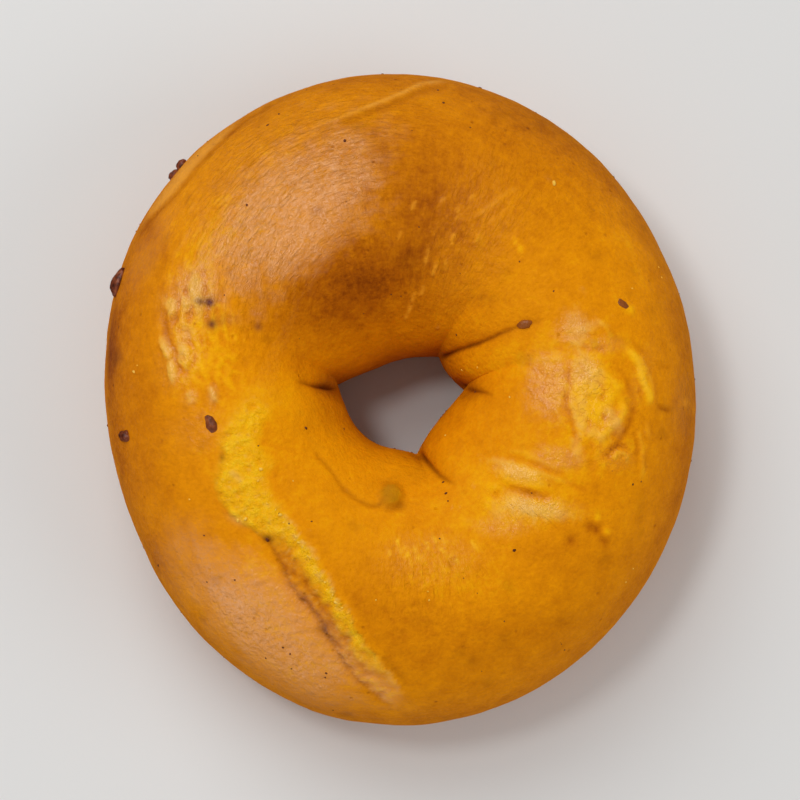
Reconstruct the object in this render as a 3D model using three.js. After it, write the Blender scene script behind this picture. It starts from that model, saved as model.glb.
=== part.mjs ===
// A golden fruit bagel, one solid ring of baked dough.
// Millimetres, +Z up. The bagel lies on its flat underside at z = 0, with the
// middle of its plan outline at the origin and its longer width along Y.
import * as THREE from 'three';
import { ParametricGeometry } from 'three/addons/geometries/ParametricGeometry.js';

// ---- plan view: radii about the middle of the hole -------------------------
// mean radius, then the cosine and sine part of each wave around the ring
const OUTLINE_RADIUS = 53.79;
const OUTLINE_WAVES = [[0.11, 1.20], [-2.81, -0.67], [0.20, 0.30], [-0.02, -0.15]];
const HOLE_RADIUS = 5.40;
const HOLE_WAVES = [[-1.18, -1.12], [-0.46, 0.32], [-0.06, -0.21]];
// corners of the hole, where two lobes of dough meet: direction in degrees,
// how far the corner reaches, and its half-width in radians
const HOLE_CORNERS = [
  { at: 11.35, reach: 6.74, width: 0.60 },
  { at: 50.63, reach: 4.36, width: 0.60 },
  { at: 162.46, reach: 5.43, width: 0.60 },
  { at: 288.76, reach: 2.59, width: 0.33 },
];

// ---- cross-section of the ring ----------------------------------------------
const TOP_HEIGHT = 38.0;                 // mean height of the crest
const TOP_WAVES = [[-0.5, 0.9], [0.5, 0.3], [0.2, -0.4]];
const WAIST_HEIGHT = 17.0;               // height of the widest point and the throat
const CREST_SHARE = 0.49;                // place of the crest between hole and outline
const FOOT_FULLNESS = 2.5;               // squareness of the lower half
const FOOT_PRESS = 1.10;                 // how far the rounded foot is pressed flat

// ---- folds that run from the hole's corners over the top --------------------
const FOLDS = [
  { from: [-9.6, 2.4], to: [-18.5, 0.4], depth: 1.7, width: 1.5 },
  { from: [6.8, 7.0], to: [32.0, 12.6], depth: 1.5, width: 1.9 },
  { from: [10.2, 2.9], to: [17.5, -1.2], depth: 1.3, width: 1.4 },
  { from: [2.9, -8.6], to: [11.0, -17.2], depth: 1.5, width: 1.5 },
];

// ---- end seam of the rolled dough: an upper flap lies over a lower one ------
const SEAM = [[-26.6, -1.0], [-28.9, -9.9], [-28.2, -17.5], [-20.8, -28.7], [-12.2, -41.1], [-4.0, -50.2], [3.8, -53.8]];
const SEAM_RAISE = 0.9;                  // the flap above
const SEAM_DROP = 1.1;                   // the layer below
const SEAM_SLOPE = 1.6;                  // half-width of the torn step
const SEAM_RUN = 9.0;                    // how far the step takes to fade

// ---- swellings of the crust ---------------------------------------------------
const SWELLINGS = [
  { around: 3, turn: 1.1, across: 2, lean: 0.4, size: 0.35 },
  { around: 5, turn: -0.7, across: 1, lean: 0.0, size: 0.30 },
  { around: 7, turn: 2.3, across: 3, lean: 1.2, size: 0.18 },
];

// ---- mesh -----------------------------------------------------------------------
const STEPS_AROUND = 120;
const STEPS_ACROSS = 40;

const CRUST = { color: 0xcf8414, roughness: 0.45, metalness: 0.0 };

const TURN = Math.PI * 2;

function waves(mean, list, angle) {
  let value = mean;
  list.forEach(([c, s], i) => {
    value += c * Math.cos((i + 1) * angle) + s * Math.sin((i + 1) * angle);
  });
  return value;
}

// shortest angle from a to b
function between(a, b) {
  return Math.atan2(Math.sin(b - a), Math.cos(b - a));
}

const cornerAngles = HOLE_CORNERS.map((corner) => THREE.MathUtils.degToRad(corner.at));

function holeRadius(angle) {
  let radius = waves(HOLE_RADIUS, HOLE_WAVES, angle);
  HOLE_CORNERS.forEach((corner, i) => {
    radius += corner.reach * Math.exp(-Math.abs(between(angle, cornerAngles[i])) / corner.width);
  });
  return radius;
}

// spreads the steps around the ring so that one falls on every corner of the hole
const spans = cornerAngles.map((a, i) => {
  const next = i + 1 < cornerAngles.length ? cornerAngles[i + 1] : cornerAngles[0] + TURN;
  return { start: a, length: next - a, steps: Math.round((next - a) / TURN * STEPS_AROUND) };
});

function ringAngle(step) {
  let left = step % STEPS_AROUND;
  for (const span of spans) {
    if (left < span.steps) return span.start + span.length * left / span.steps;
    left -= span.steps;
  }
  return spans[0].start;
}

// depth of the folds at a point of the plan
const foldLines = FOLDS.map((f) => ({
  ...f,
  line: new THREE.Line3(new THREE.Vector3(...f.from, 0), new THREE.Vector3(...f.to, 0)),
}));
const probe = new THREE.Vector3();
const foot = new THREE.Vector3();

function foldDepth(x, y) {
  let depth = 0;
  probe.set(x, y, 0);
  for (const fold of foldLines) {
    const along = fold.line.closestPointToPointParameter(probe, true);
    fold.line.at(along, foot);
    const away = foot.distanceTo(probe) / fold.width;
    depth += fold.depth * (1 - along) * Math.exp(-away * away);
  }
  return depth;
}

// height of the seam's step at a point of the plan
const seamPoints = new THREE.SplineCurve(SEAM.map(([x, y]) => new THREE.Vector2(x, y))).getSpacedPoints(80);

function seamStep(x, y) {
  let best = Infinity;
  let at = 0;
  let side = 0;
  for (let i = 0; i + 1 < seamPoints.length; i += 1) {
    const a = seamPoints[i];
    const b = seamPoints[i + 1];
    const dx = x - (a.x + b.x) / 2;
    const dy = y - (a.y + b.y) / 2;
    const d = Math.hypot(dx, dy);
    if (d < best) {
      best = d;
      at = (i + 0.5) / (seamPoints.length - 1);
      const tx = b.x - a.x;
      const ty = b.y - a.y;
      side = (tx * dy - ty * dx) / Math.hypot(tx, ty);
    }
  }
  const share = Math.sqrt(Math.max(0, Math.sin(Math.PI * at)));
  const fade = Math.exp(-best / SEAM_RUN) * share;
  return fade * (side > 0 ? SEAM_RAISE : SEAM_DROP) * Math.tanh(side / SEAM_SLOPE);
}

function power(value, exponent) {
  return Math.sign(value) * Math.abs(value) ** exponent;
}

// a point of the crust: `angle` runs around the ring, `roll` around its
// cross-section from the widest point over the crest, down the hole and under
function crustPoint(angle, roll, target) {
  const outer = waves(OUTLINE_RADIUS, OUTLINE_WAVES, angle);
  const inner = holeRadius(angle);
  const crest = inner + (outer - inner) * CREST_SHARE;
  const top = waves(TOP_HEIGHT, TOP_WAVES, angle);
  const c = Math.cos(roll);
  const s = Math.sin(roll);
  const reach = c > 0 ? outer - crest : crest - inner;
  let radius;
  let z;
  if (s < 0) {
    const squareness = 2 / FOOT_FULLNESS;
    radius = crest + reach * power(c, squareness);
    z = Math.max(0, WAIST_HEIGHT * (1 + FOOT_PRESS * power(s, squareness)));
  } else {
    radius = crest + reach * c;
    z = WAIST_HEIGHT + (top - WAIST_HEIGHT) * s;
  }
  const x = radius * Math.cos(angle);
  const y = radius * Math.sin(angle);
  if (s > 0) {
    for (const w of SWELLINGS) {
      z += s * w.size * Math.cos(w.around * angle + w.turn) * Math.cos(w.across * roll + w.lean);
    }
    z += s * (seamStep(x, y) - foldDepth(x, y));
  }
  return target.set(x, y, z);
}

const crust = new ParametricGeometry((u, v, target) => {
  const step = Math.round(u * STEPS_AROUND) % STEPS_AROUND;
  const roll = (Math.round(v * STEPS_ACROSS) % STEPS_ACROSS) / STEPS_ACROSS * TURN;
  crustPoint(ringAngle(step), roll, target);
}, STEPS_AROUND, STEPS_ACROSS);

// the middle of the plan goes to the origin, the flat underside to z = 0
crust.computeBoundingBox();
const middle = crust.boundingBox.getCenter(new THREE.Vector3());
crust.translate(-middle.x, -middle.y, -crust.boundingBox.min.z);

const bagel = new THREE.Mesh(crust, new THREE.MeshStandardMaterial(CRUST));
bagel.name = 'bagel';

const part = new THREE.Group();
part.add(bagel);

export default part;
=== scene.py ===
import bmesh
import bpy
import numpy as np
from mathutils import Matrix, Vector


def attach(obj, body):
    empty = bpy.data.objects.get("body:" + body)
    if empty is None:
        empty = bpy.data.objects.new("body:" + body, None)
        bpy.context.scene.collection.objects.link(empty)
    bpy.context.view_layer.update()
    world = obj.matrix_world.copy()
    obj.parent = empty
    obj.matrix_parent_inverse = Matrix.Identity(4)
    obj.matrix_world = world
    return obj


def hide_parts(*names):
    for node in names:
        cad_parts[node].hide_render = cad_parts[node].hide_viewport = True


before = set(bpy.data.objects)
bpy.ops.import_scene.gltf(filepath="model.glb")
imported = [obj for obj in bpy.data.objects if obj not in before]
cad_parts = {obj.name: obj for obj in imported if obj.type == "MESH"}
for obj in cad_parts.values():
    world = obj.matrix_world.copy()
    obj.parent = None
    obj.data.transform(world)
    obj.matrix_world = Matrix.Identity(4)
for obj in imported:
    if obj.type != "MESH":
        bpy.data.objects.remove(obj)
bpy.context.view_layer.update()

# A golden fruit bagel. The form is worked out in millimetres about the middle
# of the hole, +Z up, and goes into the shared frame, in metres, at the end.
TURN = 2 * np.pi
MM = 0.001
MIDDLE = np.array([0.2042, 0.9054, 0.0])      # middle of the plan outline

# ---- the ring's form, the same as the solid's -------------------------------
OUTLINE_RADIUS = 53.79
OUTLINE_WAVES = [(0.11, 1.20), (-2.81, -0.67), (0.20, 0.30), (-0.02, -0.15)]
HOLE_RADIUS = 5.40
HOLE_WAVES = [(-1.18, -1.12), (-0.46, 0.32), (-0.06, -0.21)]
HOLE_CORNERS = [(11.35, 6.74, 0.60), (50.63, 4.36, 0.60), (162.46, 5.43, 0.60), (288.76, 2.59, 0.33)]
TOP_HEIGHT = 38.0
TOP_WAVES = [(-0.5, 0.9), (0.5, 0.3), (0.2, -0.4)]
WAIST_HEIGHT = 17.0
CREST_SHARE = 0.49
FOOT_FULLNESS = 2.5
FOOT_PRESS = 1.10
FOOT_EDGE = 1.2
SWELLINGS = [(3, 1.1, 2, 0.4, 0.35), (5, -0.7, 1, 0.0, 0.30), (7, 2.3, 3, 1.2, 0.18)]

# ---- the view: steeply down on the top, in a frame of 800 by 800 -------------
FRAME = 800.0
SCALE = 112.0 / 648.0                         # mm for each frame unit at the waist
ELEVATION = np.radians(82.0)
DISTANCE = 650.0
HOLE_AT = (398.5, 402.0)                      # the hole's middle in the frame
BACK = np.array([0.0, -np.cos(ELEVATION), np.sin(ELEVATION)])
RIGHT = np.array([1.0, 0.0, 0.0])
UP = np.cross(BACK, RIGHT)
AIM = np.array([0.0, 0.0, WAIST_HEIGHT]) - RIGHT * (HOLE_AT[0] - 400) * SCALE + UP * (HOLE_AT[1] - 400) * SCALE
EYE = AIM + BACK * DISTANCE

# ---- mesh ---------------------------------------------------------------------
AROUND = 528
ACROSS = 184


def waves(mean, parts, angle):
    value = np.full_like(angle, mean)
    for k, (c, s) in enumerate(parts, 1):
        value = value + c * np.cos(k * angle) + s * np.sin(k * angle)
    return value


def between(a, b):
    return np.arctan2(np.sin(b - a), np.cos(b - a))


def power(value, exponent):
    return np.sign(value) * np.abs(value) ** exponent


def smooth(low, high, x):
    t = np.clip((x - low) / (high - low), 0.0, 1.0)
    return t * t * (3 - 2 * t)


def ring_radii(angle):
    outer = waves(OUTLINE_RADIUS, OUTLINE_WAVES, angle)
    inner = waves(HOLE_RADIUS, HOLE_WAVES, angle)
    for at, reach, width in HOLE_CORNERS:
        inner = inner + reach * np.exp(-np.abs(between(angle, np.radians(at))) / width)
    return outer, inner


def crust_point(angle, roll):
    outer, inner = ring_radii(angle)
    crest = inner + (outer - inner) * CREST_SHARE
    top = waves(TOP_HEIGHT, TOP_WAVES, angle)
    c, s = np.cos(roll), np.sin(roll)
    low = s < 0
    square = 2 / FOOT_FULLNESS
    reach = np.where(c > 0, outer - crest, crest - inner)
    radius = crest + reach * np.where(low, power(c, square), c)
    under = WAIST_HEIGHT * (1 + FOOT_PRESS * power(s, square))
    under = 0.5 * (under + np.sqrt(under * under + FOOT_EDGE ** 2)) - 0.15
    swell = 0.0
    for around, turn, across, lean, size in SWELLINGS:
        swell = swell + size * np.cos(around * angle + turn) * np.cos(across * roll + lean)
    z = np.where(low, under, WAIST_HEIGHT - 0.13 * (1 - s) + (top - WAIST_HEIGHT + swell) * s)
    return np.stack([radius * np.cos(angle), radius * np.sin(angle), z], -1)


# ---- smooth noise ---------------------------------------------------------------
def mixed(ix, iy, iz, seed):
    with np.errstate(over="ignore"):
        h = (ix.astype(np.uint64) * np.uint64(0x9E3779B97F4A7C15)
             ^ iy.astype(np.uint64) * np.uint64(0xC2B2AE3D27D4EB4F)
             ^ iz.astype(np.uint64) * np.uint64(0x165667B19E3779F9)) + np.uint64(seed * 7919 + 13)
        h ^= h >> np.uint64(31)
        h *= np.uint64(0xBF58476D1CE4E5B9)
        h ^= h >> np.uint64(29)
        h *= np.uint64(0x94D049BB133111EB)
        h ^= h >> np.uint64(32)
    return h


def noise(points, seed):
    """Gradient noise, about -1 to 1."""
    cell = np.floor(points)
    f = points - cell
    cell = cell.astype(np.int64)
    w = f * f * f * (f * (f * 6 - 15) + 10)
    total = np.zeros(points.shape[:-1])
    for dx in (0, 1):
        for dy in (0, 1):
            for dz in (0, 1):
                h = mixed(cell[..., 0] + dx, cell[..., 1] + dy, cell[..., 2] + dz, seed)
                gx = (h & np.uint64(1023)).astype(float) / 511.5 - 1
                gy = (h >> np.uint64(10) & np.uint64(1023)).astype(float) / 511.5 - 1
                gz = (h >> np.uint64(20) & np.uint64(1023)).astype(float) / 511.5 - 1
                dot = gx * (f[..., 0] - dx) + gy * (f[..., 1] - dy) + gz * (f[..., 2] - dz)
                share = ((w[..., 0] if dx else 1 - w[..., 0]) * (w[..., 1] if dy else 1 - w[..., 1])
                         * (w[..., 2] if dz else 1 - w[..., 2]))
                total += dot * share
    return total * 1.4


def layered(points, seed, layers=3, gain=0.5):
    total, size = 0.0, 1.0
    for k in range(layers):
        total = total + size * noise(points * 2.03 ** k, seed + 17 * k)
        size *= gain
    return total


# ---- the grid of the crust --------------------------------------------------------
def roll_steps(count):
    """Rolls spread by arc length, closer together over the top than below."""
    fine = np.linspace(0, TURN, 7200, endpoint=False)
    p = crust_point(np.full_like(fine, 2.0), fine)
    step = np.linalg.norm(np.roll(p, -1, 0) - p, axis=1)
    deg = np.degrees(fine)
    top = smooth(-40, -15, np.where(deg > 180, deg - 360, deg)) * (1 - smooth(190, 215, np.where(deg < 90, deg + 0, deg)))
    top = np.where((deg > 300), smooth(-40, -15, deg - 360), top)
    step = step * (0.16 + 0.84 * top) + 1e-6
    total = np.concatenate([[0], np.cumsum(step)])
    return np.interp(np.linspace(0, total[-1], count, endpoint=False), total, np.append(fine, TURN))


def angle_steps(count):
    """Angles around the ring, closer together along the seam's side."""
    fine = np.linspace(0, TURN, 7200, endpoint=False)
    step = 1.0 + 0.30 * np.exp(-(between(fine, np.radians(222)) / 0.75) ** 2)
    total = np.concatenate([[0], np.cumsum(step)])
    return np.interp(np.linspace(0, total[-1], count, endpoint=False), total, np.append(fine, TURN))


ANGLES = angle_steps(AROUND)
ROLLS = roll_steps(ACROSS)
A, R = np.meshgrid(ANGLES, ROLLS, indexing="ij")
base = crust_point(A, R)


def grid_normals(p):
    da = np.roll(p, -1, 0) - np.roll(p, 1, 0)
    dr = np.roll(p, -1, 1) - np.roll(p, 1, 1)
    n = np.cross(da, dr)
    return n / np.maximum(np.linalg.norm(n, axis=-1, keepdims=True), 1e-9)


normal = grid_normals(base)


def in_view(p):
    """Where points fall in the 800 by 800 frame, and how far away they are."""
    d = p - EYE
    depth = -(d @ BACK)
    focal = DISTANCE / SCALE
    return 400 + focal * (d @ RIGHT) / depth, 400 - focal * (d @ UP) / depth, depth


U, V, depth = in_view(base)
to_eye = EYE - base
to_eye /= np.linalg.norm(to_eye, axis=-1, keepdims=True)
facing = np.sum(to_eye * normal, -1)
shown = smooth(-0.02, 0.32, facing)            # 1 where the view sees the crust

# lengths along the ring and across it, for grain that follows the dough
arc = np.linalg.norm(np.roll(base, -1, 1) - base, axis=-1)
across_mm = np.cumsum(arc, 1) - arc
under = int(np.argmin(np.abs(ROLLS - 1.5 * np.pi)))
across_mm = np.mod(across_mm - across_mm[:, under:under + 1], arc.sum(1, keepdims=True))
ring_xy = np.stack([np.cos(A), np.sin(A)], -1) * 31.0


def grain(along, across, seed, warp=0.6):
    """Noise stretched along the ring: lengths in mm along it and across it."""
    bend = noise(base / 6.0, seed + 901) * warp * across * 2.0
    q = np.stack([ring_xy[..., 0] / along, ring_xy[..., 1] / along, (across_mm + bend) / across], -1)
    return noise(q, seed)


def rays(along, across, seed, warp=0.6):
    """Noise stretched from the hole outwards."""
    bend = noise(base / 6.0, seed + 901)[..., None] * warp * across
    q = np.concatenate([(ring_xy + bend) / across, (across_mm / along)[..., None]], -1)
    return noise(q, seed)


def spot(u, v, ru, rv=None, turn=0.0):
    """A soft oval spot, 1 in its middle, on the shown side."""
    rv = ru if rv is None else rv
    t = np.radians(turn)
    du, dv = U - u, V - v
    a = (du * np.cos(t) - dv * np.sin(t)) / ru
    b = (du * np.sin(t) + dv * np.cos(t)) / rv
    return np.exp(-(a * a + b * b)) * shown


def curve(points, steps=14):
    """A smooth line through a few points."""
    p = np.array(points, float)
    q = np.vstack([2 * p[0] - p[1], p, 2 * p[-1] - p[-2]])
    t = np.linspace(0, 1, steps, endpoint=False)[:, None]
    out = []
    for i in range(1, len(q) - 2):
        a, b, c, d = q[i - 1], q[i], q[i + 1], q[i + 2]
        out.append(0.5 * (2 * b + (c - a) * t + (2 * a - 5 * b + 4 * c - d) * t * t + (3 * b - a - 3 * c + d) * t ** 3))
    return np.vstack(out + [p[-1:]])


def beside(line, reach):
    """For each point of the crust: distance to a line, signed distance (positive on
    the right of its run), and how far along it, 0 to 1."""
    dist = np.full(U.shape, 1e6)
    side = np.full(U.shape, 1e6)
    along = np.zeros(U.shape)
    low, high = line.min(0) - reach, line.max(0) + reach
    at = np.nonzero((U > low[0]) & (U < high[0]) & (V > low[1]) & (V < high[1]) & (shown > 0))
    if len(at[0]) == 0:
        return dist, side, along
    p = np.stack([U[at], V[at]], -1)
    a, b = line[:-1], line[1:]
    ab = b - a
    length = np.linalg.norm(ab, axis=1)
    start = np.concatenate([[0], np.cumsum(length)])
    best = np.full(len(p), 1e12)
    bs = np.zeros(len(p))
    bt = np.zeros(len(p))
    for i in range(len(a)):
        d = p - a[i]
        t = np.clip((d @ ab[i]) / (length[i] ** 2 + 1e-9), 0, 1)
        off = d - t[:, None] * ab[i]
        dd = np.einsum("ij,ij->i", off, off)
        m = dd < best
        best[m] = dd[m]
        bs[m] = (ab[i][1] * d[m, 0] - ab[i][0] * d[m, 1])
        bt[m] = (start[i] + t[m] * length[i]) / start[-1]
    dist[at] = np.sqrt(best)
    side[at] = np.where(bs >= 0, 1, -1) * np.sqrt(best)
    along[at] = bt
    return dist, side, along


def ends(along, first=0.12, last=0.12):
    return smooth(0, first, along) * (1 - smooth(1 - last, 1, along))


# ---- relief of the crust, in mm along the normal, and its painted looks ---------------
lift = np.zeros(U.shape)
browning_and_shading = np.zeros(U.shape)                       # 0 pale yellow to 1 dark brown: baked browning, with painted shade and painted light in it
crumb = np.zeros(U.shape)                      # torn dough
pale_and_glint = np.zeros(U.shape)                       # pale flakes, and painted highlights and glints
stain = np.zeros(U.shape)                      # fruit juice baked into the crust
dark_and_shade = np.zeros(U.shape)                       # painted shade in the bottoms of folds and cracks, and dark freckles
gloss = np.zeros(U.shape)                      # smooth shiny skin
leather = np.zeros(U.shape)                    # fine streaks along the ring
streak = np.zeros(U.shape)                     # fine streaks across it
painted_sheen = np.zeros(U.shape)                        # painted sheen: a pale tan highlight painted into the colour
craze = np.zeros(U.shape)                      # thin cracks in loose skin
olive = np.zeros(U.shape)                      # fruit seen through the skin

everywhere = smooth(1.0, 6.0, base[..., 2])     # leaves the flat underside calm


def wrinkled(n):
    return 1 - 2.2 * np.abs(n)


def line(points, wide, first=0.2, last=0.2):
    """1 along a line through a few points, fading over its width and at its ends."""
    d, s, t = beside(curve(points), wide * 4)
    return np.exp(-(d / wide) ** 2) * ends(t, first, last) * shown


# slow lumps and the skin's own small unevenness
lift += everywhere * (0.22 * noise(base / 11.0, 1) + 0.10 * noise(base / 5.0, 2) + 0.04 * layered(base / 2.2, 3))
lift += 0.03 * grain(5.0, 1.3, 4) * everywhere

# how dark the crust is: baked browning overall, then patch by patch, with painted shade and light among the patches
browning_and_shading += 0.37 + 0.05 * noise(base / 10.0, 5) + 0.055 * noise(base / 3.8, 6) + 0.045 * noise(base / 1.6, 8) + 0.03 * grain(8.0, 1.6, 7)
# painted shade where the crust turns away from the view; the line after it darkens the underside, which is browning
browning_and_shading += 0.13 * (1 - smooth(0.25, 0.65, facing))
browning_and_shading += 0.14 * (1 - smooth(1.5, 11.0, base[..., 2]))
# the patches mix browner crust on the top with painted shade on the slope above the hole and along the left and right
# edges, and painted light where the skin shines
BAKED = [
    # u, v, ru, rv, turn, amount
    (405, 165, 110, 78, 0, 0.26),
    (530, 130, 70, 40, -30, 0.14),
    (362, 286, 84, 50, 8, 0.27),
    (360, 278, 58, 46, 0, 0.09),
    (300, 302, 32, 26, 0, 0.05),
    (350, 322, 44, 18, 0, 0.05),
    (352, 250, 24, 20, 0, 0.05),
    (428, 225, 40, 44, 0, 0.12),
    (440, 245, 46, 62, 0, 0.12),
    (345, 250, 30, 22, 30, 0.04),
    (296, 312, 72, 45, 25, 0.15),
    (300, 370, 26, 16, 10, 0.08),
    (235, 300, 40, 30, 30, 0.05),
    (265, 215, 120, 90, 45, -0.04),
    (225, 165, 60, 30, 45, 0.06),
    (600, 170, 70, 50, -40, 0.06),
    (680, 420, 40, 170, 0, 0.10),
    (610, 590, 90, 60, 40, 0.05),
    (520, 640, 70, 34, 25, 0.09),
    (400, 640, 60, 45, 0, 0.08),
    (400, 705, 210, 26, 0, 0.05),
    (140, 445, 45, 90, 0, 0.14),
    (150, 300, 26, 60, 10, 0.08),
    (110, 345, 12, 48, -4, 0.22),
    (130, 370, 36, 170, 0, 0.12),
    (160, 245, 36, 60, 30, 0.05),
    (165, 545, 50, 60, -30, 0.09),
    (380, 590, 40, 40, 0, 0.11),
    (325, 405, 20, 26, 0, 0.12),
    (455, 575, 70, 46, 0, -0.08),
    (520, 500, 62, 38, -10, -0.22),
    (200, 340, 36, 70, 0, -0.20),
    (262, 395, 34, 20, 0, -0.10),
    (228, 388, 22, 16, 0, 0.06),
    (320, 430, 34, 34, 0, 0.07),
    (420, 470, 44, 20, 0, 0.06),
    (300, 510, 40, 40, 0, 0.03),
    (552, 545, 46, 30, 0, 0.12),
    (420, 640, 60, 40, 0, 0.05),
    (560, 620, 110, 40, 30, 0.05),
    (600, 215, 60, 70, 0, 0.04),
    (675, 470, 22, 60, 0, 0.05),
    (600, 400, 56, 56, 0, -0.10),
    (320, 470, 50, 60, 0, -0.05),
    (545, 355, 60, 34, 0, -0.10),
    (245, 450, 26, 60, 0, -0.10),
    (150, 232, 12, 28, 30, 0.18),
    (522, 475, 26, 10, -14, -0.16),
    (542, 509, 36, 10, -8, -0.14),
    (190, 298, 24, 30, 0, -0.12),
    (174, 366, 14, 22, 0, -0.08),
    (140, 520, 22, 26, -20, -0.12),
    (592, 400, 24, 40, 0, -0.14),
    (440, 245, 26, 34, 0, -0.08),
    (352, 300, 40, 36, 0, 0.06),
]
for u, v, ru, rv, turn, amount in BAKED:
    browning_and_shading += amount * spot(u, v, ru, rv, turn)

# where the skin shines, and a painted sheen, a pale tan highlight painted into the colour over it: broad on the upper
# left and on the lower layer, in small patches elsewhere
sheen_edge = 0.16 * noise(base / 3.0, 9) + 0.12 * grain(3.0, 0.9, 10)
patch = smooth(0.22, 0.86, spot(294, 212, 118, 62, 42) + 1.3 * sheen_edge) * shown
painted_sheen += 0.62 * patch
gloss += 0.95 * patch + 0.25 * spot(250, 165, 70, 34, 45)
patch = smooth(0.22, 0.90, spot(275, 632, 118, 50, -44) + sheen_edge) * shown
painted_sheen += 0.55 * patch
gloss += 0.80 * patch + 0.35 * spot(232, 602, 26, 16, -44)
painted_sheen += 0.30 * smooth(0.1, 0.9, spot(228, 598, 26, 13, -44) + 0.8 * sheen_edge) * shown
SHINY = [
    # u, v, ru, rv, turn, painted sheen, gloss
    (551, 384, 24, 30, 0, 0.20, 0.80),
    (562, 458, 22, 10, -12, 0.18, 0.70),
    (575, 328, 17, 16, 10, 0.04, 0.60),
    (604, 345, 18, 8, 0, 0.08, 0.45),
    (522, 474, 24, 8, -14, 0.05, 0.90),
    (540, 507, 36, 10, -8, 0.06, 0.90),
    (505, 526, 26, 10, 0, 0.05, 0.40),
    (588, 374, 13, 18, 0, 0.12, 0.80),
    (597, 410, 14, 30, 0, 0.00, 0.45),
    (612, 420, 8, 14, 30, 0.20, 0.50),
    (616, 456, 16, 12, 0, 0.00, 0.40),
    (640, 378, 8, 34, -18, 0.00, 0.35),
    (196, 290, 20, 24, 0, 0.30, 0.90),
    (176, 310, 16, 26, 0, 0.05, 0.60),
    (180, 358, 18, 30, -20, 0.00, 0.70),
    (191, 398, 6, 8, -20, 0.10, 0.70),
    (213, 395, 4, 10, -8, 0.10, 0.80),
    (195, 430, 26, 22, 0, 0.00, 0.25),
    (185, 560, 26, 40, 0, 0.15, 0.15),
    (150, 250, 12, 46, -28, 0.10, 0.15),
    (430, 560, 46, 22, 0, 0.00, 0.22),
    (470, 235, 40, 70, -18, 0.00, 0.10),
    (684, 405, 10, 30, 0, 0.05, 0.40),
]
for u, v, ru, rv, turn, sheen_amount, shine in SHINY:
    patch = smooth(0.12, 0.88, spot(u, v, ru * 1.15, rv * 1.15, turn) + 0.8 * sheen_edge + 0.10 * noise(base / 1.1, 12)) * shown
    painted_sheen += sheen_amount * patch
    gloss += shine * patch

# fine grain of the skin
leather += np.clip(1.2 * spot(280, 205, 130, 80, 45) + 0.5 * spot(330, 150, 110, 45, 20) - 0.75 * spot(305, 205, 48, 34, 45), 0, 1)
streak += np.minimum(1, 0.9 * spot(362, 205, 30, 50, -15) + 0.8 * spot(465, 235, 62, 100, -18) + 0.9 * spot(435, 580, 75, 50, 0) + 0.5 * spot(560, 190, 80, 60, -35)
                     + 0.9 * spot(530, 512, 48, 18, -8))

craze += np.minimum(1, 1.2 * spot(590, 396, 26, 44) + 0.9 * spot(616, 456, 18, 14) + 0.6 * spot(194, 322, 30, 62, 6)
                    + 0.8 * spot(535, 505, 42, 14, -10) + 0.6 * spot(575, 330, 30, 16) + 0.5 * spot(551, 384, 24, 30))

# folds from the hole's corners: deep at the hole, fading outwards, with painted shade along their bottoms and beside
# them
FOLDS = [
    ([(346, 388), (330, 386), (312, 384), (296, 381)], 1.7, 5.5, 0.58),
    ([(436, 360), (452, 353), (480, 343), (505, 332), (524, 325), (545, 319)], 1.05, 5.0, 0.52),
    ([(455, 384), (470, 389), (484, 392), (494, 396)], 1.0, 6.0, 0.60),
    ([(414, 448), (428, 463), (441, 476), (457, 485)], 1.4, 4.5, 0.66),
]
for points, deep, wide, mark in FOLDS:
    d, s, t = beside(curve(points), 60)
    fade = (1 - t) ** 0.8 * shown
    lift -= deep * fade * (0.6 * np.exp(-d / wide) + 0.4 * np.exp(-(d / 3.0) ** 2)) * smooth(0.0, 0.06, t + 0.03)
    lift += 0.35 * fade * np.exp(-((d - 22) / 14) ** 2)
    dark_and_shade += mark * fade ** 0.6 * np.exp(-(d / 1.8) ** 2)
    browning_and_shading += 0.22 * fade ** 0.7 * np.exp(-(d / 9.0) ** 2)

# end seam: a torn band of crumb between the lower layer and the flap above it
FOOT = curve([(252, 384), (240, 406), (231, 420), (224, 433), (221, 443), (223, 456), (218, 470), (216, 483), (220, 500),
              (236, 519), (255, 533), (267, 540), (273, 551), (282, 570), (290, 588), (296, 595), (309, 610), (322, 627),
              (327, 638), (340, 658), (347, 668), (363, 684), (382, 700), (400, 713)], 8)
LIP = curve([(274, 388), (267, 410), (258, 431), (256, 445), (263, 454), (270, 466), (266, 470), (264, 485), (276, 504),
             (285, 517), (299, 536), (309, 551), (317, 564), (328, 579), (336, 597), (345, 610), (357, 627), (365, 643),
             (377, 657), (389, 671), (400, 686), (409, 699), (428, 710), (450, 717)], 8)
ragged = 3.2 * noise(base / 1.9, 21) + 2.4 * noise(base / 0.9, 22)
df, sf, tf = beside(FOOT, 130)
dl, sl, tl = beside(LIP, 130)
near = (np.abs(sf) < 1e5) & (np.abs(sl) < 1e5)
out_f = np.where(near, -sf - 0.6 * ragged, 1e6)   # positive on the outer side of each line
out_l = np.where(near, -sl - ragged, 1e6)
soft = 1.8 + 6.0 * (1 - smooth(465, 530, V))       # the torn edge is blurred high up
band = np.where(near, smooth(-soft, soft, -out_f) * smooth(-soft, soft, out_l), 0) * shown
far_f = -beside(curve([(252, 384), (222, 445), (224, 500), (267, 540), (309, 610), (347, 668), (400, 713)], 8), 130)[1]
far_l = -beside(curve([(274, 388), (259, 450), (270, 492), (299, 536), (336, 597), (377, 657), (428, 710)], 8), 130)[1]
far_fade = ends(tf, 0.30, 0.30) * shown           # for the wide swell on both sides
near_fade = ends(tf, 0.06, 0.06) * shown
rise = np.clip(-out_f / np.maximum(-out_f + out_l, 1e-3), 0, 1)
SEAM_RAISE, SEAM_DROP = 0.8, 1.0
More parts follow.
